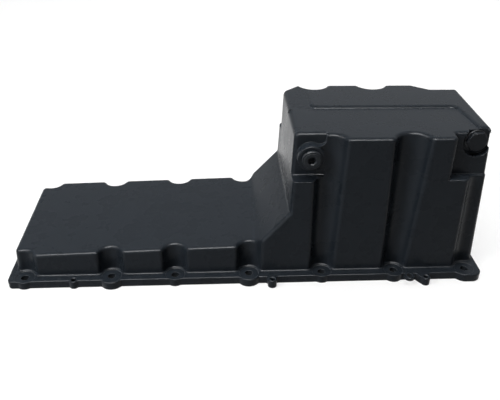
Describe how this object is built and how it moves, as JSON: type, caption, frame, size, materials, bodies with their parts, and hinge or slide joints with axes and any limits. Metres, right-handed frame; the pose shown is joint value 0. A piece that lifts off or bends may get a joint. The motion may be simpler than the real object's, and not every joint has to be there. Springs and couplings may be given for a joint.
{
  "type": "engine oil pan",
  "caption": "Cast engine oil pan with a shallow front run, a deep rear sump, drain and level plugs, a bolted mounting rail and an inner baffle plate",
  "frame": {"origin": "centre of the corner bolt rectangle, on the gasket face", "axes": "X along the pan from the shallow end to the deep sump, Y across it away from the drain side, Z out of the gasket face towards the sump floor; the pan lies upside down on its gasket face"},
  "size_m": [0.5546, 0.2064, 0.1806],
  "materials": {
    "pan_casting": "black satin coating on cast aluminium",
    "drain_plug": "black zinc-nickel plated steel",
    "drain_plug_magnet": "plain magnet steel",
    "drain_plug_seal": "soft aluminium sealing ring",
    "port_plug": "black zinc-nickel plated steel",
    "port_plug_seal": "soft aluminium sealing ring",
    "sump_baffle": "zinc plated steel sheet",
    "baffle_screws": "zinc plated hexagon flange screws"
  },
  "bodies": {
    "root": {"pan_casting": "pan_casting", "drain_plug": "drain_plug", "drain_plug_magnet": "drain_plug_magnet", "drain_plug_seal": "drain_plug_seal", "port_plug": "port_plug", "port_plug_seal": "port_plug_seal", "sump_baffle": "sump_baffle", "baffle_screws": "baffle_screws"}
  },
  "joints": []
}
